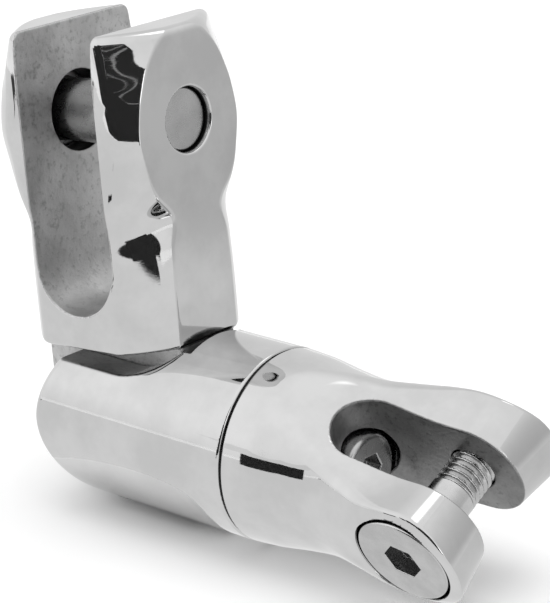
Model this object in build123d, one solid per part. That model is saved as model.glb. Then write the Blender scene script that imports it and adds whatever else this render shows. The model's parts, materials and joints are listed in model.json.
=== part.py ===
"""Anchor swivel with a hinged anchor fork and a swivelling chain fork.

Millimetres.  The origin is the middle of the anchor pin, between the two ears of
the anchor fork, where the anchor's shank is fastened.  +X runs along the barrel
towards the chain fork, +Y along the hinge pin and +Z is up.
"""
from build123d import *
import os
from math import cos, radians, sin, sqrt

# ---- driving dimensions ---------------------------------------------------------
BARREL_R = 17.0            # barrel and swivel joint
BARREL_FACE_X = 31.0       # swivel face, measured from the hinge axis
END_ARC_R = 18.1           # rounding of the barrel's free end, about an axis along Y
END_ARC_X = 6.65           # centre of that rounding
SLOT_WALL_X = 16.8         # end wall of the barrel's slot
CHEEK_Y = 7.0              # half width of the barrel's slot
SEAT_Z = 10.7              # floor of the seat milled over the hinge
SEAT_ARC_R = 15.5          # run-out of that seat
SEAT_ARC_X = 4.2           # where the run-out starts

FORK_LEAN = 5.0            # degrees that the raised anchor fork leans back from upright
SHOULDER_Z = 14.4          # flat underside of the anchor fork, from the hinge axis
FORK_TOP_Z = 69.0
FORK_FLAT_X = 16.4         # outer flats of the ears
FORK_GAP_X = 8.8           # half the gap for the anchor's shank
FORK_GAP_FLOOR_Z = 20.4
ANCHOR_PIN_Z = 52.8
TONGUE_Y = 6.85            # half thickness of the tongue in the barrel's slot
TONGUE_R = 16.0

ANCHOR_PIN_R = 5.5
ANCHOR_HEAD_R = 7.0        # threaded head of the anchor pin
HINGE_PIN_R = 6.0
SHAFT_R = 5.0
SHAFT_HEAD_R = 6.3
SHAFT_HEAD_LENGTH = 4.8
DOWEL_R = 1.25
DOWEL_LENGTH = 9.0
CHAIN_BOLT_R = 4.0
CHAIN_HEAD_R = 8.5
CHAIN_HEAD_DEPTH = 4.5     # length of the chain bolt's head
ANCHOR_SOCKET = 7.0        # hexagon sockets, across the flats
SHAFT_SOCKET = 5.0
CHAIN_SOCKET = 6.0
SOCKET_DEPTH = 3.0

RUNNING = 0.08             # radial clearance of a turning fit
PIN_CLEARANCE = 0.1        # radial clearances that let the pins slide out
BOLT_CLEARANCE = 0.15
COUNTERBORE_CLEARANCE = 0.5
SPOT_FACE_CLEARANCE = 0.6
WASHER_CLEARANCE = 0.02
FAR = 90.0                 # cutting tools reach past everything

CHAIN_SWIVEL = 27.0        # degrees that the chain fork is turned about the barrel's axis
CHAIN_FACE_X = 31.5
CHAIN_BOLT_X = 66.8
CHAIN_FLAT_Y = 15.4        # outer flats of the chain fork's ears
CHAIN_GAP_Y = 6.1          # half the gap for the chain link
CHAIN_GAP_FLOOR_X = 47.3
CHAIN_EAR_REACH = 11.3     # rounded ends of the ears, from the bolt
CHAIN_NECK_X = 48.0        # where the ears' outer flats start
SHAFT_SEAT_X = 44.0        # spot face under the swivel shaft's head
WASHER_STOP_X = 45.2       # where the head's washer ends and the head starts

# ---- outlines of the two cast forks ---------------------------------------------
# Anchor fork: body of revolution about its long axis, as (radius, height).
FORK_NECK = [(18.3, 14.4), (18.3, 26.0), (18.0, 32.0), (17.3, 38.0)]
FORK_BULGE_R = 20.3        # widest, level with the anchor pin
FORK_BULGE_ARC_R = 35.7
FORK_BULGE_Z = 53.3        # level of the widest place
FORK_BULGE_START_Z = 42.5  # the bulge's arc runs from here to the top
FORK_FRONT_Y = 15.0        # front and back flats
# Lower part of the anchor fork, seen along its axis: one quarter of the outline.
FORK_CORNER = [(16.4, 7.4), (15.3, 9.2), (12.8, 11.8), (8.8, 15.0)]
# Chain fork: body of revolution about the barrel's axis, as (distance, radius).
CHAIN_BODY = [(31.5, 17.0), (36.5, 16.6), (43.0, 15.65), (49.3, 15.2), (55.0, 16.05),
              (61.0, 17.1), (67.0, 17.5), (73.0, 17.2), (80.0, 16.5)]
# Chain fork seen along its bolt, as (distance, half height).
CHAIN_SIDE = [(31.5, 17.1), (36.5, 16.5), (43.0, 14.0), (49.3, 11.9), (57.0, 11.0), (66.8, 10.4)]


def cylinder_along(axis, radius, start, stop, centre=(0, 0, 0)):
    """A cylinder along X, Y or Z between two coordinates on that axis."""
    direction = {"X": (1, 0, 0), "Y": (0, 1, 0), "Z": (0, 0, 1)}[axis]
    base = Vector(*centre) + Vector(*direction) * start
    return extrude(Plane(origin=base, z_dir=direction) * Circle(radius), stop - start)


def cone_along_x(radius_start, radius_stop, start, stop, centre_z=0.0):
    """A truncated cone about an axis parallel to X."""
    outline = Polyline(
        (start, 0), (start, radius_start), (stop, radius_stop), (stop, 0), close=True)
    solid = revolve(make_face(Plane.XZ * outline), Axis.X)
    return Pos(0, 0, centre_z) * solid


def box_between(low, high):
    """A box given by two opposite corners."""
    size = [b - a for a, b in zip(low, high)]
    centre = [(a + b) / 2 for a, b in zip(low, high)]
    return Pos(*centre) * Box(*size)


def hexagon_hole(across_flats, depth, plane):
    """A hexagon socket cut down from a plane, against its normal."""
    return extrude(plane * RegularPolygon(across_flats / sqrt(3), 6), -depth)


def fork_place(shape):
    """Put a shape from the anchor fork's frame, hinge at the origin, in place."""
    pin_x = -sin(radians(FORK_LEAN)) * ANCHOR_PIN_Z
    pin_z = cos(radians(FORK_LEAN)) * ANCHOR_PIN_Z
    return Pos(-pin_x, 0, -pin_z) * Rot(0, -FORK_LEAN, 0) * shape


def barrel_place(shape):
    """Put a shape from the barrel's frame, hinge at the origin, in place."""
    pin_x = -sin(radians(FORK_LEAN)) * ANCHOR_PIN_Z
    pin_z = cos(radians(FORK_LEAN)) * ANCHOR_PIN_Z
    return Pos(-pin_x, 0, -pin_z) * shape


def chain_place(shape):
    """Put a shape from the chain fork's frame in place."""
    return barrel_place(Rot(CHAIN_SWIVEL, 0, 0) * shape)


def fork_body_of_revolution():
    """The anchor fork's turned shape: neck, bulge and rounded ends."""
    arc_x = FORK_BULGE_R - FORK_BULGE_ARC_R
    round_r = 1.3

    def on_bulge(z):
        return arc_x + sqrt(FORK_BULGE_ARC_R ** 2 - (z - FORK_BULGE_Z) ** 2), z

    bulge_start = on_bulge(FORK_BULGE_START_Z)
    bulge_end = on_bulge(FORK_TOP_Z - round_r)
    round_top = (bulge_end[0] - 0.3 * round_r, FORK_TOP_Z - 0.3 * round_r)
    top = (bulge_end[0] - round_r, FORK_TOP_Z)
    neck_r = FORK_NECK[0][0]
    foot = (neck_r - round_r, SHOULDER_Z)
    round_foot = (neck_r - 0.3 * round_r, SHOULDER_Z + 0.3 * round_r)
    neck_start = (neck_r, SHOULDER_Z + round_r)
    bulge_slope = (FORK_BULGE_Z - FORK_BULGE_START_Z, bulge_start[0] - arc_x)
    outline = [
        Line((0, SHOULDER_Z), foot),
        ThreePointArc(foot, round_foot, neck_start),
        Spline(neck_start, *FORK_NECK[1:], bulge_start, tangents=[(0, 1), bulge_slope]),
        ThreePointArc(bulge_start, on_bulge(FORK_BULGE_Z), bulge_end),
        ThreePointArc(bulge_end, round_top, top),
        Line(top, (0, FORK_TOP_Z)),
        Line((0, FORK_TOP_Z), (0, SHOULDER_Z)),
    ]
    return revolve(Plane.XZ * make_face(outline), Axis.Z)


def fork_lower_prism():
    """The squarer outline that the anchor fork has below its waist."""
    side, bevel, corner, front = FORK_CORNER
    edges = []
    for sx, sy in [(1, 1), (-1, 1), (-1, -1), (1, -1)]:
        p, q, r, t = [(sx * x, sy * y) for x, y in (side, bevel, corner, front)]
        edges += [Line(p, q), ThreePointArc(q, r, t)]
    x_side, y_side = side
    x_front, y_front = front
    edges += [Line((s * x_side, -y_side), (s * x_side, y_side)) for s in (1, -1)]
    edges += [Line((-x_front, s * y_front), (x_front, s * y_front)) for s in (1, -1)]
    return extrude(make_face(edges), FORK_NECK[-1][1])


def anchor_fork():
    """The fork that holds the anchor's shank, with its tongue."""
    waist_z = FORK_NECK[-1][1]
    body = fork_body_of_revolution()
    body &= box_between((-FORK_FLAT_X, -FORK_FRONT_Y, 0), (FORK_FLAT_X, FORK_FRONT_Y, FAR))
    body &= fork_lower_prism() + box_between((-FAR, -FAR, waist_z), (FAR, FAR, FAR))

    gap_centre_z = FORK_GAP_FLOOR_Z + FORK_GAP_X
    body -= box_between((-FORK_GAP_X, -FAR, gap_centre_z), (FORK_GAP_X, FAR, FAR))
    body -= cylinder_along("Y", FORK_GAP_X, -FAR, FAR, (0, 0, gap_centre_z))

    tongue = box_between((-TONGUE_R, -TONGUE_Y, 0), (TONGUE_R, TONGUE_Y, SHOULDER_Z + 1))
    tongue += cylinder_along("Y", TONGUE_R, -TONGUE_Y, TONGUE_Y)
    body += tongue
    body -= cylinder_along("Y", HINGE_PIN_R + RUNNING, -FAR, FAR)

    pin_centre = (0, 0, ANCHOR_PIN_Z)
    pin_hole_r = ANCHOR_PIN_R + PIN_CLEARANCE
    rim = 0.5
    body -= cylinder_along("X", pin_hole_r, 0, FAR, pin_centre)
    body -= cone_along_x(pin_hole_r, pin_hole_r + rim, FORK_FLAT_X - rim, FORK_FLAT_X, ANCHOR_PIN_Z)
    body -= cylinder_along("X", ANCHOR_HEAD_R + PIN_CLEARANCE, -FAR, 0, pin_centre)
    return body


def anchor_pin():
    """The pin through the anchor's shank, screwed into one ear by its head."""
    tip_x = FORK_FLAT_X - 1.4
    head_x = -FORK_FLAT_X + 0.4
    shank_x = head_x + 2.8
    chamfer = 0.6
    pin = cylinder_along("X", ANCHOR_PIN_R, shank_x, tip_x - chamfer)
    pin += cone_along_x(ANCHOR_PIN_R, ANCHOR_PIN_R - chamfer, tip_x - chamfer, tip_x)
    pin += cylinder_along("X", ANCHOR_HEAD_R, head_x + chamfer, shank_x)
    pin += cone_along_x(ANCHOR_HEAD_R - chamfer, ANCHOR_HEAD_R, head_x, head_x + chamfer)
    pin -= hexagon_hole(ANCHOR_SOCKET, SOCKET_DEPTH, Plane(origin=(head_x, 0, 0), z_dir=(-1, 0, 0)))
    return Pos(0, 0, ANCHOR_PIN_Z) * pin


def seat_cutter():
    """Everything above the seat over the hinge and above its curved run-out."""
    centre_z = SEAT_Z + SEAT_ARC_R
    run_out = cylinder_along("Y", SEAT_ARC_R, -FAR, FAR, (SEAT_ARC_X, 0, centre_z))
    run_out &= box_between((SEAT_ARC_X, -FAR, SEAT_Z - 1), (FAR, FAR, centre_z))
    flat = box_between((-FAR, -FAR, SEAT_Z), (SEAT_ARC_X, FAR, centre_z))
    return flat + run_out


def swivel_barrel():
    """The hinged and swivelling body in the middle."""
    barrel = cylinder_along("X", BARREL_R, -BARREL_R, BARREL_FACE_X)
    end = cylinder_along("Y", END_ARC_R, -FAR, FAR, (END_ARC_X, 0, 0))
    end += box_between((END_ARC_X, -FAR, -FAR), (FAR, FAR, FAR))
    barrel &= end
    barrel -= seat_cutter()
    barrel -= box_between((-FAR, -CHEEK_Y, -FAR), (SLOT_WALL_X, CHEEK_Y, FAR))
    barrel -= cylinder_along("Y", HINGE_PIN_R, -FAR, FAR)
    barrel -= cylinder_along("X", SHAFT_R, SLOT_WALL_X - 1, BARREL_FACE_X + 1)
    barrel -= shaft_dowel()
    return barrel


def hinge_pin():
    """The pin that the anchor fork turns on, dressed flush with the barrel."""
    pin = cylinder_along("Y", HINGE_PIN_R, -BARREL_R, BARREL_R)
    return pin & cylinder_along("X", BARREL_R, -BARREL_R, BARREL_R)


def shaft_dowel():
    """The dowel in the thread joint that keeps the shaft from unscrewing."""
    return cylinder_along("X", DOWEL_R, SLOT_WALL_X, SLOT_WALL_X + DOWEL_LENGTH, (0, 0, SHAFT_R))


def swivel_shaft():
    """The shaft screwed into the barrel, with its head in the chain fork's gap."""
    chamfer = 0.8
    head_stop = WASHER_STOP_X + SHAFT_HEAD_LENGTH
    cone_start = head_stop - chamfer
    shaft = cylinder_along("X", SHAFT_R, SLOT_WALL_X, WASHER_STOP_X)
    shaft += cylinder_along("X", SHAFT_HEAD_R, WASHER_STOP_X, cone_start)
    shaft += cone_along_x(SHAFT_HEAD_R, SHAFT_HEAD_R - chamfer, cone_start, head_stop)
    shaft -= hexagon_hole(SHAFT_SOCKET, SOCKET_DEPTH, Plane(origin=(head_stop, 0, 0), z_dir=(1, 0, 0)))
    return shaft - shaft_dowel()


def ring_along_x(outer, inner, start, stop):
    """A flat washer about the X axis."""
    return cylinder_along("X", outer, start, stop) - cylinder_along("X", inner, start - 1, stop + 1)


def thrust_washer():
    """The thin washer in the joint between the barrel and the chain fork."""
    play = 0.05
    return ring_along_x(
        BARREL_R - 0.7, SHAFT_R + WASHER_CLEARANCE, BARREL_FACE_X, CHAIN_FACE_X - play)


def head_washer():
    """The washer between the shaft's head and the chain fork."""
    play = 0.05
    return ring_along_x(
        SHAFT_HEAD_R + 0.4, SHAFT_R + WASHER_CLEARANCE, SHAFT_SEAT_X + play, WASHER_STOP_X)


def chain_side_solid():
    """The chain fork's outline seen along its bolt, as a solid along Y."""
    edges = []
    for side in (1, -1):
        points = [(x, side * z) for x, z in CHAIN_SIDE]
        edges.append(Spline(*points, tangents=[(8.0, -1.0 * side), (10.0, -0.5 * side)]))
    ear_x, ear_z = CHAIN_SIDE[-1]
    edges.append(ThreePointArc((ear_x, ear_z), (ear_x + CHAIN_EAR_REACH, 0), (ear_x, -ear_z)))
    start_x, start_z = CHAIN_SIDE[0]
    edges.append(Line((start_x, start_z), (start_x, -start_z)))
    return extrude(Plane.XZ * make_face(edges), FAR, both=True)


def chain_body_of_revolution():
    """The chain fork's turned shape."""
    start = CHAIN_BODY[0]
    stop = CHAIN_BODY[-1]
    outline = [
        Spline(*CHAIN_BODY, tangents=[(8.0, -0.5), (1.0, 0.0)]),
        Line(stop, (stop[0], 0)),
        Line((stop[0], 0), (start[0], 0)),
        Line((start[0], 0), start),
    ]
    return revolve(make_face(outline), Axis.X)


def chain_fork():
    """The fork that holds the chain link."""
    flats = box_between((CHAIN_NECK_X, -CHAIN_FLAT_Y, -FAR), (FAR, CHAIN_FLAT_Y, FAR))
    neck = box_between((0, -FAR, -FAR), (CHAIN_NECK_X, FAR, FAR))
    body = chain_body_of_revolution() & chain_side_solid() & (flats + neck)

    gap_centre_x = CHAIN_GAP_FLOOR_X + CHAIN_GAP_Y
    body -= box_between((gap_centre_x, -CHAIN_GAP_Y, -FAR), (FAR, CHAIN_GAP_Y, FAR))
    body -= cylinder_along("Z", CHAIN_GAP_Y, -FAR, FAR, (gap_centre_x, 0, 0))
    body -= cylinder_along("X", SHAFT_R + RUNNING, 0, gap_centre_x)
    body -= cylinder_along("X", SHAFT_HEAD_R + SPOT_FACE_CLEARANCE, SHAFT_SEAT_X, gap_centre_x)

    bolt_centre = (CHAIN_BOLT_X, 0, 0)
    counterbore_r = CHAIN_HEAD_R + COUNTERBORE_CLEARANCE
    counterbore_y = -CHAIN_FLAT_Y + CHAIN_HEAD_DEPTH + 0.1
    body -= cylinder_along("Y", CHAIN_BOLT_R + BOLT_CLEARANCE, -FAR, 0, bolt_centre)
    body -= cylinder_along("Y", CHAIN_BOLT_R, 0, FAR, bolt_centre)
    body -= cylinder_along("Y", counterbore_r, -FAR, counterbore_y, bolt_centre)
    return body


def chain_bolt():
    """The low-head screw that the chain link hangs on."""
    face_y = -CHAIN_FLAT_Y + 0.1
    neck_y = face_y + CHAIN_HEAD_DEPTH
    tip_y = CHAIN_FLAT_Y - 0.8
    chamfer = 0.5
    outline = Polyline(
        (0, face_y), (CHAIN_HEAD_R - chamfer, face_y), (CHAIN_HEAD_R, face_y + chamfer),
        (CHAIN_HEAD_R, neck_y), (CHAIN_BOLT_R, neck_y),
        (CHAIN_BOLT_R, tip_y - chamfer), (CHAIN_BOLT_R - chamfer, tip_y), (0, tip_y), close=True)
    bolt = revolve(make_face(outline), Axis.Y)
    bolt -= hexagon_hole(CHAIN_SOCKET, SOCKET_DEPTH, Plane(origin=(0, face_y, 0), z_dir=(0, -1, 0)))
    return Pos(CHAIN_BOLT_X, 0, 0) * bolt


NODES = {
    "anchor_fork": (anchor_fork, fork_place),
    "anchor_pin": (anchor_pin, fork_place),
    "swivel_barrel": (swivel_barrel, barrel_place),
    "hinge_pin": (hinge_pin, barrel_place),
    "swivel_shaft": (swivel_shaft, barrel_place),
    "shaft_dowel": (shaft_dowel, barrel_place),
    "thrust_washer": (thrust_washer, barrel_place),
    "head_washer": (head_washer, barrel_place),
    "chain_fork": (chain_fork, chain_place),
    "chain_bolt": (chain_bolt, chain_place),
}

os.makedirs("parts", exist_ok=True)
for name, (make, place) in NODES.items():
    export_step(place(make()), os.path.join("parts", name + ".step"))
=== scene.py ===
"""Looks of the anchor swivel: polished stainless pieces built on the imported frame."""
import json
from math import cos, pi, radians, sin, sqrt

import bpy
import numpy as np
from mathutils import Matrix, Vector

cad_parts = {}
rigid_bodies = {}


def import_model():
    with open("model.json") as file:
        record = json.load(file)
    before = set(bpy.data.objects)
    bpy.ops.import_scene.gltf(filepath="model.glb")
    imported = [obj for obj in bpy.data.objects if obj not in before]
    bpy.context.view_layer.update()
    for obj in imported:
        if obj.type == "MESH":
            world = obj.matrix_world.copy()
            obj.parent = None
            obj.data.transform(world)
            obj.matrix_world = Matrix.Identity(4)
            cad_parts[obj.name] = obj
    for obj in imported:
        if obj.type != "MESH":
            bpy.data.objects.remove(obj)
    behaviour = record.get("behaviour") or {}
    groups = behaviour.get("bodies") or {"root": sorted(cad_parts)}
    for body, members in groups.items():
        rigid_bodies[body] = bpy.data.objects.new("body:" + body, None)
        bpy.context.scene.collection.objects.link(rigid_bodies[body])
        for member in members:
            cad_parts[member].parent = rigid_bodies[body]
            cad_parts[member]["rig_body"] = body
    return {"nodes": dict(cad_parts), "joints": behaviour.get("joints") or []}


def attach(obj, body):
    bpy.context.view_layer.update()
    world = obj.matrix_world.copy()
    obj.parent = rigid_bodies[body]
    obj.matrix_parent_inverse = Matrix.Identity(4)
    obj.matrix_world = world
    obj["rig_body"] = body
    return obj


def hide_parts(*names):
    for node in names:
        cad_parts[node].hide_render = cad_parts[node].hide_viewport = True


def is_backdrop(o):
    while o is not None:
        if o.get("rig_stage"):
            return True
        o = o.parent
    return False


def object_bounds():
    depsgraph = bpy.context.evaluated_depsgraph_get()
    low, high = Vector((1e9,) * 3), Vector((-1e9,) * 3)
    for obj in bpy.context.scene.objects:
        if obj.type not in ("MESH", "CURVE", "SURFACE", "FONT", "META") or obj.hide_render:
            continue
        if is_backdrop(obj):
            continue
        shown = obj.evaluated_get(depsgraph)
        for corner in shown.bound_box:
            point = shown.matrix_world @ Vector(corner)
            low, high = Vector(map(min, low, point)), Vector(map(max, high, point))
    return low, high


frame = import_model()
cad_low, cad_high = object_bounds()
nodes = frame["nodes"]
joints = {j["name"]: j for j in frame["joints"]}
HINGE = Vector(joints["fork_hinge"]["pos_m"])
LEAN = radians(5.0)        # the raised fork leans back by this
SWIVEL = radians(27.0)     # turn of the chain fork about the barrel
MM = 0.001
DETAIL = 1.0

# ---- dimensions, in millimetres ---------------------------------------------------
# The anchor fork and its pin: z runs up the fork from the hinge, x across its ears.
FORK_FLAT_X = 16.4         # outer flats of the ears
FORK_TOP_Z = 69.0
FORK_BOTTOM_Z = 14.36      # flat underside over the barrel
FORK_CORNER_R = 27.0       # arcs that join the ears' sides to their fronts
ANCHOR_GAP_X = 8.8         # half the gap for the anchor's shank
ANCHOR_GAP_Z = 29.2        # centre of the gap's round end
FACET_X, FACET_Y = 0.853, 0.521         # direction of the facet on each lower corner
FACET_OFFSET = 17.72
TONGUE_R = 16.0
TONGUE_Y = 6.85
TONGUE_BORE_R = 6.08
ANCHOR_PIN_Z = 52.8
ANCHOR_PIN_R = 5.5
ANCHOR_HEAD_R = 7.0
ANCHOR_THREAD_PITCH = 1.5
ANCHOR_SOCKET = 7.0        # across the flats
PIN_HOLE_R = 5.62
HEAD_HOLE_R = 7.12

# The other pieces: x runs along the barrel from the hinge, y along the hinge pin.
BARREL_R = 17.0
BARREL_SKIN_R = 16.99      # a hair inside the barrel's size
BARREL_FACE_X = 31.0
BARREL_END_X = 12.0        # depth of the rounded free end
BARREL_END_POWER = 1.75    # 2 would be an ellipse
SEAT_Z = 10.7              # floor of the seat under the anchor fork
SEAT_ARC_R = 15.5
SEAT_ARC_X = 4.2
SLOT_Y = 7.0               # half the slot for the tongue
SLOT_END_X = 16.8
HINGE_PIN_R = 5.95
HINGE_BORE_R = 6.0
HINGE_PIN_END = 15.4
HINGE_BORE_END = 15.6
SHAFT_R = 5.0
SHAFT_HOLE_R = 5.1
SHAFT_HEAD_R = 6.3
SHAFT_HEAD_X = 45.2, 50.0
SHAFT_SOCKET = 5.0         # across the flats
SHAFT_SOCKET_X = 47.0
SHAFT_SEAT_R = 6.95
SHAFT_SEAT_X = 44.0
SHAFT_SEAT_MOUTH_X = 50.2  # from here the seat closes in towards the gap's walls

CHAIN_FACE_X = 31.5
CHAIN_FLAT_Y = 15.4        # outer flats of the chain fork's ears
CHAIN_GAP_Y = 6.1          # half the gap for the chain
CHAIN_GAP_X = 53.4         # centre of the gap's round end
EAR_X = 67.4
EAR_R = 10.6
EAR_DRAFT = 0.15           # the ears get narrower towards the gap
BOLT_X = 66.8
BOLT_R = 4.0
BOLT_HOLE_R = 4.2
BOLT_THREAD_PITCH = 1.25
BOLT_THREAD_DEPTH = 0.68
BOLT_HEAD_R = 8.5
BOLT_HEAD_Y = -15.3, -10.8
BOLT_COUNTERBORE_R = 8.95
BOLT_SOCKET = 6.0          # across the flats
BOLT_SOCKET_TURN = 50.0    # degrees
BOLT_SOCKET_Y = -12.3

# Centre of the fork's corner arcs in plan, and its front, at heights along the fork.
FORK_CORNER_X = [
    (14.0, -6.0), (26.0, -6.0), (32.0, -6.5), (37.5, -7.4), (42.0, -4.9), (47.0, -1.6),
    (53.0, 0.1), (59.0, -1.7), (61.5, -3.9), (63.8, -5.95), (66.2, -8.0), (69.0, -9.7),
    (72.0, -10.9)]
FORK_CORNER_Y = [
    (14.0, -7.7), (26.0, -7.7), (32.0, -7.35), (37.5, -6.6), (42.0, -7.2), (47.0, -8.9),
    (53.0, -9.3), (59.0, -8.8), (61.5, -7.6), (63.8, -6.25), (66.2, -4.95), (69.0, -4.1),
    (72.0, -3.5)]
FORK_FRONT = [(14.0, 15.0), (50.0, 15.0), (56.0, 14.98), (60.0, 14.88), (64.5, 14.62), (69.0, 14.1)]
# Radius and half height of the chain fork along its axis.
CHAIN_RADII = [
    (31.0, 16.99), (36.5, 16.6), (43.0, 15.7), (49.3, 15.25), (55.0, 16.0), (61.0, 17.0),
    (67.0, 17.35), (73.0, 16.75), (80.0, 15.4)]
CHAIN_HEIGHTS = [(31.0, 20.5), (36.5, 17.9), (43.0, 14.6), (49.3, 11.9), (57.0, 10.8), (67.4, 10.6)]


# ---- shapes: functions that give the distance outside a surface -------------------
def both(a, b, r=0.0):
    """Where a and b overlap, with the edge between them rounded to radius r."""
    if isinstance(r, float) and r == 0:
        return np.maximum(a, b)
    return np.minimum(np.maximum(a, b), -r) + np.hypot(np.maximum(a + r, 0), np.maximum(b + r, 0))


def either(a, b, r=0.0):
    """Where a or b is, with the edge between them filled to radius r."""
    return -both(-a, -b, r)


def ramp(low, high, t):
    """0 below low, 1 above high, smooth between."""
    u = np.clip((t - low) / (high - low), 0, 1)
    return u * u * (3 - 2 * u)


def smooth_table(t, points):
    """A smooth curve through (t, value) points."""
    ts = np.array([p[0] for p in points], float)
    vs = np.array([p[1] for p in points], float)
    slopes = np.gradient(vs, ts)
    i = np.clip(np.searchsorted(ts, t) - 1, 0, len(ts) - 2)
    span = ts[i + 1] - ts[i]
    u = np.clip((t - ts[i]) / span, 0, 1)
    u2, u3 = u * u, u * u * u
    return ((2 * u3 - 3 * u2 + 1) * vs[i] + (u3 - 2 * u2 + u) * span * slopes[i]
            + (3 * u2 - 2 * u3) * vs[i + 1] + (u3 - u2) * span * slopes[i + 1])


def hexagon(u, v, across_flats, turn=0.0):
    """Distance outside a hexagon about the axis, turned by some degrees."""
    c, s = cos(radians(turn)), sin(radians(turn))
    u, v = abs(c * u + s * v), abs(c * v - s * u)
    return np.maximum(v, u * (sqrt(3) / 2) + v / 2) - across_flats / 2


# Each piece has a shape, and a weight for its cast finish and painted shade: 0 is polished, 1 plain cast and
# 2 black, painted shade in bores, sockets and recesses.
def anchor_gap(x, y, z):
    return np.hypot(x, np.minimum(z - ANCHOR_GAP_Z, 0)) - ANCHOR_GAP_X


def fork_shape(x, y, z):
    ax, ay = abs(x), abs(y)
    level = z + 1.4 * ramp(6.0, 13.0, ay)
    corner = np.hypot(ax - smooth_table(level, FORK_CORNER_X), ay - smooth_table(level, FORK_CORNER_Y))
    corner = corner - FORK_CORNER_R
    facet = FACET_X * ax + FACET_Y * ay - FACET_OFFSET - 5.0 * ramp(34.0, 42.0, z)
    d = both(both(corner, facet, 0.12), ay - smooth_table(z, FORK_FRONT), 0.8)
    d = both(d, ax - FORK_FLAT_X, 0.25)
    d = both(d, z - FORK_TOP_Z, 1.5)
    d = both(d, FORK_BOTTOM_Z - z, 0.7)
    d = both(d, -anchor_gap(x, y, z), 0.42)
    stem = both(ax - TONGUE_R, both(z - TONGUE_R, -z))
    tongue = both(either(np.hypot(x, z) - TONGUE_R, stem), ay - TONGUE_Y, 0.4)
    d = np.minimum(d, tongue)
    d = both(d, TONGUE_BORE_R - np.hypot(x, z), 0.1)
    pin = np.hypot(y, z - ANCHOR_PIN_Z)
    d = both(d, -both(pin - PIN_HOLE_R, -x - 1), 0.45)
    return both(d, -both(pin - HEAD_HOLE_R, x + 1), 0.4)


def fork_cast_and_shade(x, y, z):
    gap = ramp(0.30, 0.12, abs(anchor_gap(x, y, z)))
    tongue = ramp(14.5, 14.3, z) * ramp(7.1, 6.9, abs(y))
    # painted shade: the walls of both pin holes go black
    bore_shade = ramp(7.3, 7.1, np.hypot(y, z - ANCHOR_PIN_Z)) * ramp(15.9, 15.5, abs(x)) * ramp(8.75, 9.0, abs(x))
    return np.maximum(gap, np.maximum(tongue, 2 * bore_shade))


def barrel_shape(x, y, z):
    radial = np.hypot(y, z)
    end_z = abs(z) / BARREL_R
    end_x = np.maximum(-x, 0) / BARREL_END_X
    end = (end_x ** BARREL_END_POWER + end_z ** BARREL_END_POWER) ** (1 / BARREL_END_POWER)
    end = (end - 1.0) * BARREL_END_X - 6.0 * ramp(-3.0, 4.0, x)
    d = both(radial - BARREL_SKIN_R, end, 0.1 + 1.5 * np.maximum(1 - end_z ** 2, 0))
    d = both(d, x - BARREL_FACE_X, 0.4)
    arc_z = SEAT_Z + SEAT_ARC_R
    seat_arc = np.hypot(x - SEAT_ARC_X, z - arc_z) - SEAT_ARC_R
    seat = np.where(x < SEAT_ARC_X, SEAT_Z - z, np.where(z < arc_z, seat_arc, x - SEAT_ARC_X - SEAT_ARC_R))
    d = both(d, -seat, 0.35)
    slot = both(abs(y) - SLOT_Y, x - SLOT_END_X)
    d = both(d, -slot, 0.35)
    bore = both(np.hypot(x, z) - HINGE_BORE_R, radial - HINGE_BORE_END)
    return both(d, -bore, 0.05)


def barrel_matte(x, y, z):
    slot = ramp(7.35, 7.1, abs(y)) * ramp(17.1, 16.9, x)
    floor = SEAT_Z + 0.0322 * np.maximum(x - SEAT_ARC_X, 0) ** 2
    seat = ramp(11.0, 7.0, x) * ramp(-0.3, 0.0, z - floor + 0.1) * ramp(0.5, 0.2, z - floor)
    return np.maximum(slot, seat)


def chain_gap(x, y, z):
    return np.hypot(y, np.minimum(x - CHAIN_GAP_X, 0)) - CHAIN_GAP_Y


def chain_shape(x, y, z):
    ay, az = abs(y), abs(z)
    axis = np.hypot(y, z)
    turned = axis - smooth_table(x, CHAIN_RADII)
    height = smooth_table(np.minimum(x, EAR_X), CHAIN_HEIGHTS)
    side = np.where(x < EAR_X, az - height, np.hypot(x - EAR_X, z) - EAR_R)
    side = side + EAR_DRAFT * (CHAIN_FLAT_Y - ay) * ramp(52.0, 66.0, x)
    d = both(turned, side, 1.2 - 0.8 * ramp(58.0, 66.0, x))
    d = both(d, ay - CHAIN_FLAT_Y - 3.0 * (1 - ramp(45.0, 49.0, x)), 0.3)
    d = both(d, CHAIN_FACE_X - x, 0.4)
    d = both(d, -chain_gap(x, y, z), 0.42)
    mouth = 0.6 * np.maximum(x - SHAFT_SEAT_MOUTH_X, 0)
    seat = both(axis - SHAFT_SEAT_R + mouth, SHAFT_SEAT_X - x)
    d = both(d, -seat, 0.15)
    d = both(d, SHAFT_HOLE_R - axis, 0.1)
    bolt = np.hypot(x - BOLT_X, z)
    d = both(d, -both(bolt - BOLT_HOLE_R, y - 15.0), 0.2)
    return both(d, -both(bolt - BOLT_COUNTERBORE_R, y - BOLT_HEAD_Y[1]), 0.3)


def chain_cast_and_shade(x, y, z):
    gap = ramp(0.32, 0.12, abs(chain_gap(x, y, z)))
    # painted shade: the bolt holes' walls and the shaft's seat go black
    bore_shade = ramp(9.15, 8.97, np.hypot(x - BOLT_X, z)) * ramp(15.15, 14.75, abs(y)) * ramp(6.3, 6.6, abs(y))
    seat = ramp(7.2, 7.0, np.hypot(y, z)) * ramp(47.2, 46.6, x)
    return np.maximum(gap, 2 * np.maximum(bore_shade, seat))


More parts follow.
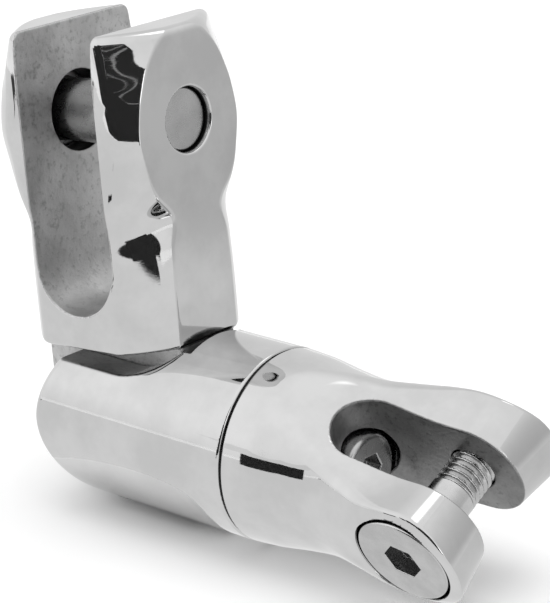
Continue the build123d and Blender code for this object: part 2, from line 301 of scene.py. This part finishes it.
def anchor_pin_shape(x, y, z):
    z = z - ANCHOR_PIN_Z
    radial = np.hypot(y, z)
    phase = (x / ANCHOR_THREAD_PITCH + np.arctan2(z, y) / (2 * pi)) % 1.0
    thread = 0.5 * abs(2 * phase - 1) * ramp(-15.4, -14.9, x)
    shank = both(radial - ANCHOR_PIN_R, x - 15.0, 0.5)
    shank = both(shank, -x - 14.0)
    head = both(both(radial - ANCHOR_HEAD_R + thread, x + 13.2, 0.2), -x - 16.0, 0.4)
    d = either(shank, head, 0.2)
    return both(d, -both(hexagon(y, z, ANCHOR_SOCKET), x + 13.0), 0.15)


def anchor_pin_painted_shade(x, y, z):
    # painted shade: the head's threads, down in the far ear's hole, go black
    return 2 * ramp(-13.3, -13.6, x) * ramp(-15.9, -15.6, x)


def hinge_pin_shape(x, y, z):
    """Its ends stay just under the barrel's skin, where they are polished in."""
    return both(np.hypot(x, z) - HINGE_PIN_R, np.hypot(y, z) - HINGE_PIN_END, 0.3)


def shaft_shape(x, y, z):
    radial = np.hypot(y, z)
    shank = both(radial - SHAFT_R, both(16.9 - x, x - 46.0))
    head = both(both(radial - SHAFT_HEAD_R, x - SHAFT_HEAD_X[1], 0.9), SHAFT_HEAD_X[0] - x, 0.2)
    d = np.minimum(shank, head)
    return both(d, -both(hexagon(y, z, SHAFT_SOCKET), SHAFT_SOCKET_X - x), 0.25)


def bolt_shape(x, y, z):
    x = x - BOLT_X
    radial = np.hypot(x, z)
    phase = (y / BOLT_THREAD_PITCH - np.arctan2(z, x) / (2 * pi)) % 1.0
    crest = np.clip(abs(2 * phase - 1) * 1.25 - 0.2, 0, 1)
    thread = BOLT_THREAD_DEPTH * crest * ramp(-0.2, 0.5, y)
    shank = both(both(radial - BOLT_R + thread, y - 14.6, 0.6), -y - 12.0)
    head = both(both(radial - BOLT_HEAD_R, BOLT_HEAD_Y[0] - y, 0.45), y - BOLT_HEAD_Y[1], 0.3)
    d = either(shank, head, 0.35)
    return both(d, -both(hexagon(x, z, BOLT_SOCKET, BOLT_SOCKET_TURN), y - BOLT_SOCKET_Y), 0.18)


def bolt_tone_and_shade(x, y, z):
    hollow = ramp(0.1, -0.1, hexagon(x - BOLT_X, z, BOLT_SOCKET, BOLT_SOCKET_TURN))
    # painted shade: the hex socket's walls go black
    socket = hollow * ramp(-15.2, -14.9, y) * ramp(-11.0, -12.0, y)
    face = 1.28 * ramp(-15.0, -15.2, y)     # a shade darker than the shank
    return np.maximum(face, 2 * socket)


# ---- from distances to meshes -----------------------------------------------------
def surface_net(distance, low, high, step):
    """Vertices and quads of the zero surface, one vertex per crossed cell."""
    axes = [np.arange(a - step * 1.5, b + step * 2.5, step) for a, b in zip(low, high)]
    x, y, z = np.meshgrid(*axes, indexing="ij", sparse=True)
    value = distance(x, y, z)
    value = np.broadcast_to(value, [len(a) for a in axes]).astype(np.float32)
    inside = value < 0
    cells = tuple(n - 1 for n in value.shape)
    total = np.zeros(cells + (3,), np.float32)
    count = np.zeros(cells, np.float32)
    crossings = []
    for axis in range(3):
        # where each grid edge along this axis crosses the surface
        a = [slice(None)] * 3
        b = [slice(None)] * 3
        a[axis], b[axis] = slice(0, -1), slice(1, None)
        va, vb = value[tuple(a)], value[tuple(b)]
        crossed = inside[tuple(a)] != inside[tuple(b)]
        crossings.append(crossed)
        at = np.zeros(va.shape, np.float32)
        np.divide(va, va - vb, out=at, where=crossed)
        others = [k for k in range(3) if k != axis]
        # added to the four cells round that edge
        for i in (0, 1):
            for j in (0, 1):
                part = [slice(None)] * 3
                part[others[0]] = slice(i, i + cells[others[0]])
                part[others[1]] = slice(j, j + cells[others[1]])
                hit = crossed[tuple(part)]
                count += hit
                total[..., axis] += np.where(hit, at[tuple(part)], 0)
                total[..., others[0]] += np.where(hit, i, 0)
                total[..., others[1]] += np.where(hit, j, 0)
    active = count > 0
    index = np.full(cells, -1, np.int64)
    index[active] = np.arange(active.sum())
    origin = np.array([a[0] for a in axes])
    points = (np.argwhere(active) + total[active] / count[active][:, None]) * step + origin
    faces = []
    for axis in range(3):
        # one quad across each crossed edge, joining the four cells round it
        at = np.argwhere(crossings[axis])
        others = [k for k in range(3) if k != axis]
        ok = np.all((at[:, others] > 0) & (at[:, others] < np.array(cells)[others]), axis=1)
        at = at[ok]
        ring = []
        for i, j in ((-1, -1), (0, -1), (0, 0), (-1, 0)):
            cell = at.copy()
            cell[:, others[0]] += i
            cell[:, others[1]] += j
            ring.append(index[tuple(cell.T)])
        quad = np.stack(ring, 1)
        flip = inside[tuple(at.T)] == (axis == 1)
        quad[flip] = quad[flip][:, ::-1]
        faces.append(quad)
    return points, np.concatenate(faces)


def gradient(distance, points, eps=0.02):
    """Slope of the distance at each point, by central differences."""
    out = np.empty_like(points)
    for k in range(3):
        step = np.zeros(3)
        step[k] = eps
        out[:, k] = (distance(*(points + step).T) - distance(*(points - step).T)) / (2 * eps)
    return out


def settle(distance, points, step, rounds=4):
    """Move the vertices onto the surface; gives them and their normals."""
    for _ in range(rounds):
        slope = gradient(distance, points)
        length2 = np.maximum((slope ** 2).sum(1), 0.05)
        move = distance(*points.T) / length2
        points = points - slope * np.clip(move, -step, step)[:, None]
    slope = gradient(distance, points)
    return points, slope / np.maximum(np.linalg.norm(slope, axis=1), 1e-9)[:, None]


BARREL_PLACE = Matrix.Translation(HINGE) @ Matrix.Scale(MM, 4)
FORK_PLACE = Matrix.Translation(HINGE) @ Matrix.Rotation(-LEAN, 4, "Y") @ Matrix.Scale(MM, 4)
CHAIN_PLACE = Matrix.Translation(HINGE) @ Matrix.Rotation(SWIVEL, 4, "X") @ Matrix.Scale(MM, 4)


def make_piece(node, distance, low, high, step, place, cast_and_shade=None):
    """A smooth mesh of the shape between two corners, which replaces the CAD node."""
    step *= DETAIL
    points, quads = surface_net(distance, low, high, step)
    points, normals = settle(distance, points, step)
    mesh = bpy.data.meshes.new(node + "_look")
    turn = np.array(place.to_3x3())
    world = points @ turn.T + np.array(place.translation)
    mesh.from_pydata(world.tolist(), [], quads.tolist())
    mesh.polygons.foreach_set("use_smooth", np.ones(len(quads), bool))
    # per vertex weight: 1 marks plain cast steel, 2 marks black painted shade
    if cast_and_shade is not None:
        weight = mesh.attributes.new("cast_and_shade", "FLOAT", "POINT")
        weight.data.foreach_set("value", np.asarray(cast_and_shade(*points.T), np.float32))
    normals = normals @ (turn / MM).T
    mesh.normals_split_custom_set_from_vertices(normals.tolist())
    piece = bpy.data.objects.new(node + "_look", mesh)
    bpy.context.scene.collection.objects.link(piece)
    body = nodes[node]["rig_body"]
    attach(piece, body)
    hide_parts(node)
    return piece


# Shape, corners of the box it is looked for in, size of a mesh cell, place and weight of cast finish and
# painted shade.
PIECES = {
    "anchor_fork": (
        fork_shape, (-16.5, -15.1, -16.2), (16.5, 15.1, 69.2), 0.29, FORK_PLACE, fork_cast_and_shade),
    "swivel_barrel": (
        barrel_shape, (-11.6, -17.1, -17.1), (31.1, 17.1, 17.1), 0.3, BARREL_PLACE, barrel_matte),
    "chain_fork": (
        chain_shape, (31.4, -17.2, -17.2), (78.2, 17.2, 17.2), 0.26, CHAIN_PLACE, chain_cast_and_shade),
    "anchor_pin": (
        anchor_pin_shape, (-16.1, -7.1, 45.6), (15.1, 7.1, 60.0), 0.26, FORK_PLACE, anchor_pin_painted_shade),
    "hinge_pin": (
        hinge_pin_shape, (-6.1, -15.6, -6.1), (6.1, 15.6, 6.1), 0.5, BARREL_PLACE, None),
    "swivel_shaft": (
        shaft_shape, (16.8, -6.4, -6.4), (50.1, 6.4, 6.4), 0.26, BARREL_PLACE, None),
    "chain_bolt": (
        bolt_shape, (BOLT_X - 8.6, -15.4, -8.6), (BOLT_X + 8.6, 14.7, 8.6), 0.17, CHAIN_PLACE, bolt_tone_and_shade),
}
made = {}
for node, (shape, low, high, step, place, cast_and_shade) in PIECES.items():
    made[node] = make_piece(node, shape, low, high, step, place, cast_and_shade)


# ---- materials --------------------------------------------------------------------
class Nodes:
    """Short calls for building a node tree."""

    def __init__(self, tree):
        self.tree = tree

    def add(self, kind, **settings):
        node = self.tree.nodes.new(kind)
        for key, value in settings.items():
            setattr(node, key, value)
        return node

    def put(self, value, socket):
        """Link an output to a socket, or set a constant on it."""
        if hasattr(value, "is_output"):
            self.tree.links.new(value, socket)
        else:
            socket.default_value = value

    def math(self, operation, *values):
        node = self.add("ShaderNodeMath", operation=operation)
        for value, socket in zip(values, node.inputs):
            self.put(value, socket)
        return node.outputs[0]

    def span(self, value, low, high, to_low=0.0, to_high=1.0):
        """to_low at low, to_high at high, smooth between."""
        node = self.add("ShaderNodeMapRange", interpolation_type="SMOOTHSTEP")
        for v, socket in zip((value, low, high, to_low, to_high), node.inputs):
            self.put(v, socket)
        return node.outputs[0]

    def noise(self, at, scale, detail=3.0, roughness=0.5, stretch=None):
        if stretch:
            mapping = self.add("ShaderNodeMapping")
            mapping.inputs["Scale"].default_value = stretch
            self.put(at, mapping.inputs["Vector"])
            at = mapping.outputs[0]
        node = self.add("ShaderNodeTexNoise")
        self.put(at, node.inputs["Vector"])
        node.inputs["Scale"].default_value = scale
        node.inputs["Detail"].default_value = detail
        node.inputs["Roughness"].default_value = roughness
        return node.outputs["Fac"]

    def mix(self, factor, a, b):
        """Mix of two colours."""
        node = self.add("ShaderNodeMix", data_type="RGBA")
        return self.mixed(node, factor, a, b)

    def blend(self, factor, a, b):
        """Mix of two values."""
        node = self.add("ShaderNodeMix", data_type="FLOAT")
        return self.mixed(node, factor, a, b)

    def mixed(self, node, factor, a, b):
        for value, name in ((factor, "Factor"), (a, "A"), (b, "B")):
            self.put(value, node.inputs[name])
        return node.outputs["Result"]

    def bump(self, height, depth, normal=None):
        node = self.add("ShaderNodeBump")
        node.inputs["Strength"].default_value = 1.0
        node.inputs["Distance"].default_value = depth
        self.put(height, node.inputs["Height"])
        if normal:
            self.put(normal, node.inputs["Normal"])
        return node.outputs[0]


def grey(value):
    return (value, value, value, 1.0)


def new_material(name):
    """A material with its node helper, its Principled shader and its object coordinates."""
    m = bpy.data.materials.new(name)
    m.use_nodes = True
    n = Nodes(m.node_tree)
    shader = m.node_tree.nodes["Principled BSDF"]
    at = n.add("ShaderNodeTexCoord").outputs["Object"]
    return m, n, shader, at


def steel(name, dark, light, rough_low, rough_high, bumps, mottle=90.0):
    """Turned steel; bumps are (scale, depth, detail, stretch).  Black, painted shade, where the mesh's weight
    is 2.
    """
    m, n, shader, at = new_material(name)
    shader.inputs["Metallic"].default_value = 1.0
    cast_and_shade = n.add("ShaderNodeAttribute", attribute_name="cast_and_shade").outputs["Fac"]
    cloud = n.noise(at, mottle, 5.0, 0.6)
    tone = n.mix(n.span(cloud, 0.32, 0.68), grey(dark), grey(light))
    # painted shade: black where the weight runs from 1 to 2
    n.put(n.mix(n.span(cast_and_shade, 1.0, 2.0), tone, grey(0.02)), shader.inputs["Base Color"])
    wear = n.noise(at, mottle * 4.3, 4.0, 0.65)
    n.put(n.span(wear, 0.35, 0.7, rough_low, rough_high), shader.inputs["Roughness"])
    normal = None
    for scale, depth, detail, stretch in bumps:
        normal = n.bump(n.noise(at, scale, detail, 0.55, stretch), depth, normal)
    n.put(normal, shader.inputs["Normal"])
    return m


def polished_and_cast(name, cast_dark, cast_light):
    """Mirror-polished steel.  Where the mesh's weight is 1 it is plain cast steel, and at 2 black, painted
    shade.
    """
    m, n, shader, at = new_material(name)
    shader.inputs["Metallic"].default_value = 1.0
    cast_and_shade = n.add("ShaderNodeAttribute", attribute_name="cast_and_shade").outputs["Fac"]
    is_cast = n.span(cast_and_shade, 0.0, 1.0)
    haze = n.noise(at, 75.0, 4.0, 0.6)
    blotch = n.noise(at, 110.0, 6.0, 0.65)
    speck = n.noise(at, 900.0, 4.0, 0.7)
    shine = n.mix(n.span(haze, 0.35, 0.65), grey(0.59), grey(0.66))
    cast = n.mix(n.span(blotch, 0.3, 0.7), grey(cast_dark), grey(cast_light))
    cast = n.mix(n.span(speck, 0.32, 0.5), grey(cast_dark * 0.85), cast)
    # painted shade: near black where the weight runs from 1 to 2, in bores and recesses
    cast = n.mix(n.span(cast_and_shade, 1.0, 2.0), cast, grey(0.025))
    n.put(n.mix(is_cast, shine, cast), shader.inputs["Base Color"])
    smear = n.span(n.noise(at, 240.0, 4.0, 0.65), 0.4, 0.72, 0.02, 0.06)
    dull = n.span(speck, 0.35, 0.7, 0.38, 0.52)
    n.put(n.blend(is_cast, smear, dull), shader.inputs["Roughness"])
    waves = n.bump(n.noise(at, 105.0, 1.0), 1.3e-5)
    scratches = n.bump(n.noise(at, 800.0, 3.0, 0.5, (1.0, 1.0, 12.0)), 9e-7, waves)
    pits = n.math("MULTIPLY", n.noise(at, 1300.0, 4.0, 0.6), 0.6)
    lumps = n.math("MULTIPLY", n.noise(at, 300.0, 3.0), 0.8)
    grain = n.math("MULTIPLY", n.math("ADD", pits, lumps), is_cast)
    n.put(n.bump(grain, 9e-5, scratches), shader.inputs["Normal"])
    return m


# The same cast steel gets a lighter tone on the fork than on the barrel and chain fork: painted light, for
# the light in the fork's slot.
fork_steel = polished_and_cast("polished_fork_steel", 0.45, 0.62)
barrel_steel = polished_and_cast("polished_barrel_steel", 0.22, 0.34)
chain_steel = polished_and_cast("polished_chain_steel", 0.24, 0.36)
satin = steel("satin_stainless", 0.44, 0.52, 0.26, 0.32, [(1200.0, 2e-6, 3.0, (16.0, 1.0, 1.0))], 160.0)
bright_satin = steel("bright_satin_stainless", 0.56, 0.66, 0.16, 0.22, [(2500.0, 1e-6, 3.0, None)], 200.0)
# Near-black steel: painted shade in the joint between the barrel and the chain fork.
gap_shade_steel = steel("painted_shade_steel", 0.03, 0.05, 0.35, 0.45, [(900.0, 2e-6, 3.0, None)])

LOOKS = {
    "anchor_fork": fork_steel, "swivel_barrel": barrel_steel, "chain_fork": chain_steel,
    "anchor_pin": satin, "swivel_shaft": satin, "chain_bolt": bright_satin, "hinge_pin": satin,
}
for node, piece in made.items():
    piece.data.materials.append(LOOKS[node])
# painted shade: the washers and the dowel go near black
for node in ("shaft_dowel", "thrust_washer", "head_washer"):
    nodes[node].data.materials.clear()
    nodes[node].data.materials.append(gap_shade_steel)

# ---- camera -----------------------------------------------------------------------
CAMERA_PLACE = Vector((0.30392, -0.31920, 0.11753))
CAMERA_RIGHT = Vector((0.76792, 0.64030, -0.01758))
CAMERA_DOWN = Vector((0.19685, -0.26203, -0.94477))
CAMERA_AHEAD = Vector((-0.60955, 0.72205, -0.32727))
camera_data = bpy.data.cameras.new("camera")
camera = bpy.data.objects.new("camera", camera_data)
bpy.context.scene.collection.objects.link(camera)
bpy.context.scene.camera = camera
camera_data.lens = 157.75
camera_data.clip_start = 0.02
turn = Matrix((CAMERA_RIGHT, -CAMERA_DOWN, -CAMERA_AHEAD)).transposed()
camera.matrix_world = Matrix.Translation(CAMERA_PLACE) @ turn.to_4x4()
bpy.context.scene.view_settings.view_transform = "Standard"

# ---- floor and lamp ---------------------------------------------------------------
FLOOR_Z = cad_low.z - 0.0002
FLOOR_HALF = 4.0           # metres
LAMP_HEIGHT = 1.8          # metres above the hinge


def plain(name, value):
    """Cloth or paper of one tone."""
    m, n, shader, at = new_material(name)
    n.put(n.mix(n.noise(at, 9.0, 4.0), grey(value * 0.985), grey(value)), shader.inputs["Base Color"])
    shader.inputs["Roughness"].default_value = 0.8
    shader.inputs["Specular IOR Level"].default_value = 0.15
    return m


def stage_sheet(name, corners, m, seen=True):
    """A flat sheet of the set; one that isn't seen shows in reflections only."""
    mesh = bpy.data.meshes.new(name)
    mesh.from_pydata(corners, [], [tuple(range(len(corners)))])
    sheet = bpy.data.objects.new(name, mesh)
    bpy.context.scene.collection.objects.link(sheet)
    mesh.materials.append(m)
    if not seen:
        sheet.visible_camera = False
        sheet.visible_diffuse = False
        sheet.visible_shadow = False
    sheet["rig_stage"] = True
    return sheet


floor_signs = ((-1, -1), (1, -1), (1, 1), (-1, 1))
stage_sheet("floor", [(x * FLOOR_HALF, y * FLOOR_HALF, FLOOR_Z) for x, y in floor_signs],
            plain("floor_paper", 0.93))

lamp_data = bpy.data.lights.new("overhead", "AREA")
lamp_data.shape = "DISK"
lamp_data.size = 1.6
lamp_data.energy = 9.0
lamp = bpy.data.objects.new("overhead", lamp_data)
lamp.location = (HINGE.x, HINGE.y, HINGE.z + LAMP_HEIGHT)
lamp.visible_glossy = False
bpy.context.scene.collection.objects.link(lamp)
lamp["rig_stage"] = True

# ---- studio -----------------------------------------------------------------------
# Sheets round the object that its polished steel mirrors.  Azimuths are in degrees, seen
# from the hinge: 0 is towards -Y and 90 towards +X.  Distances from the hinge and heights
# above the floor are in millimetres.
GAP_DISTANCE = 480         # the dark side of the studio
CASE_DISTANCE = 185
BOX_DISTANCE = 330
RAIL_DISTANCE = 410
WALL_DISTANCE = 270
RAIL_AZIMUTHS = 31, 60
WALL_AZIMUTHS = 86, 176
DARK_SHEETS = (            # name, azimuths, distance, height
    ("dark_gap_low", (-14, -5), GAP_DISTANCE, 150),
    ("dark_gap_mid", (-5, 16), GAP_DISTANCE, 285),
    ("dark_gap_high", (16, 61), GAP_DISTANCE, 385),
    ("dark_case", (-16.3, -4.2), CASE_DISTANCE, 36),
    ("dark_box", (42, 58), BOX_DISTANCE, 66),
)
DARK_RIM = ((-41, 455), (-46, 350), (-54, 300), (-54, 420), (-46, 470))     # azimuth, distance
DARK_RIM_LIFT = 0.5
VISOR = ((-20, 92), (0, 92), (0, 190), (-20, 190))                          # azimuth, distance
VISOR_LIFT = 37.5
RING_LIFT = 0.1
RAILS = (("rail_1", 148, 310, 6), ("rail_2", 120, 288, 3))                  # two heights, thickness


def glow(name, low_value, high_value, height=300):
    """A lit sheet whose brightness changes from the floor up to a height."""
    m, n, shader, at = new_material(name)
    m.node_tree.nodes.remove(shader)
    split = n.add("ShaderNodeSeparateXYZ")
    n.put(at, split.inputs[0])
    emission = n.add("ShaderNodeEmission")
    strength = n.span(split.outputs["Z"], FLOOR_Z, FLOOR_Z + height * MM, low_value, high_value)
    n.put(strength, emission.inputs["Strength"])
    n.put(emission.outputs[0], m.node_tree.nodes["Material Output"].inputs["Surface"])
    return m


def away(azimuth, distance):
    """A place that far from the hinge, as offsets along X and Y."""
    a = radians(azimuth)
    return distance * sin(a), -distance * cos(a)


def mirrored(name, places, m):
    """A sheet that shows in reflections only; places are (azimuth, distance, height)."""
    corners = []
    for azimuth, distance, height in places:
        x, y = away(azimuth, distance)
        corners.append((HINGE.x + x * MM, HINGE.y + y * MM, FLOOR_Z + height * MM))
    return stage_sheet(name, corners, m, seen=False)


def upright(name, azimuths, distance, low, high, m):
    """A sheet standing on edge."""
    start, stop = azimuths
    places = [(start, distance, low), (stop, distance, low), (stop, distance, high), (start, distance, high)]
    return mirrored(name, places, m)


def ring_on_floor(name, azimuth_low, azimuth_high, near, far, m, pieces=12):
    """A strip that lies on the floor, part of a ring about the hinge."""
    turns = [azimuth_low + (azimuth_high - azimuth_low) * i / pieces for i in range(pieces + 1)]
    places = [(a, near, RING_LIFT) for a in turns] + [(a, far, RING_LIFT) for a in reversed(turns)]
    return mirrored(name, places, m)


dark_cloth = plain("dark_cloth", 0.02)
for name, azimuths, distance, height in DARK_SHEETS:
    upright(name, azimuths, distance, 0, height, dark_cloth)
mirrored("dark_rim", [(a, d, DARK_RIM_LIFT) for a, d in DARK_RIM], dark_cloth)
mirrored("visor", [(a, d, VISOR_LIFT) for a, d in VISOR], glow("visor", 0.90, 0.90))
pale_rail = glow("pale_rail", 0.12, 0.42, 350)
start, stop = RAIL_AZIMUTHS
for name, low_start, low_stop, thickness in RAILS:
    rise = ((start, low_start), (stop, low_stop),
            (stop, low_stop + thickness), (start, low_start + thickness))
    mirrored(name, [(a, RAIL_DISTANCE, h) for a, h in rise], pale_rail)
upright("grey_wall_foot", WALL_AZIMUTHS, WALL_DISTANCE, 0, 30, glow("grey_wall_foot", 0.8, 0.62, 30))
upright("grey_wall", WALL_AZIMUTHS, WALL_DISTANCE, 30, 330, glow("grey_wall", 0.6, 1.0))
ring_on_floor("grey_floor", 86, 178, 10, 272, glow("grey_floor", 0.76, 0.76))
ring_on_floor("bright_floor", -182, 86, 24, 450, glow("bright_floor", 0.90, 0.90), 24)

# ---- world ------------------------------------------------------------------------
# A pale room.  Each window has a middle azimuth, half its width, its lowest and highest
# elevation, the softness of its edges, all in degrees, and its brightness.
WINDOWS = (
    (130, 52, -40, 30, 12, 0.75),
    (215, 38, -40, 60, 14, 0.88),
    (-28, 30, 8, 78, 10, 1.12),
    (67, 9, 10, 26, 3.0, 2.4),
    (178, 18, 58, 76, 6, 2.2),
)
world = bpy.data.worlds.new("studio")
bpy.context.scene.world = world
world.use_nodes = True
n = Nodes(world.node_tree)
split = n.add("ShaderNodeSeparateXYZ")
n.put(n.add("ShaderNodeTexCoord").outputs["Generated"], split.inputs[0])
wx, wy, wz = split.outputs
azimuth = n.math("MULTIPLY", n.math("ARCTAN2", wx, n.math("MULTIPLY", wy, -1.0)), 180 / pi)
elevation = n.math("MULTIPLY", n.math("ARCSINE", wz), 180 / pi)


def window(middle, half, low, high, soft):
    """1 inside a box of directions, 0 outside, with soft edges."""
    off = n.math("ABSOLUTE", n.math("WRAP", n.math("SUBTRACT", azimuth, middle), 180.0, -180.0))
    across = n.span(off, half + soft, half - soft)
    above = n.span(elevation, low - soft, low + soft)
    below = n.span(elevation, high + soft, high - soft)
    return n.math("MULTIPLY", across, n.math("MULTIPLY", above, below))


light = n.span(elevation, -20.0, 80.0, 1.0, 1.08)
for middle, half, low, high, soft, value in WINDOWS:
    mask = window(middle, half, low, high, soft)
    light = n.math("ADD", n.math("MULTIPLY", light, n.math("SUBTRACT", 1.0, mask)),
                   n.math("MULTIPLY", mask, value))
background = world.node_tree.nodes["Background"]
background.inputs["Color"].default_value = (1, 1, 1, 1)
n.put(light, background.inputs["Strength"])

low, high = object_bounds()
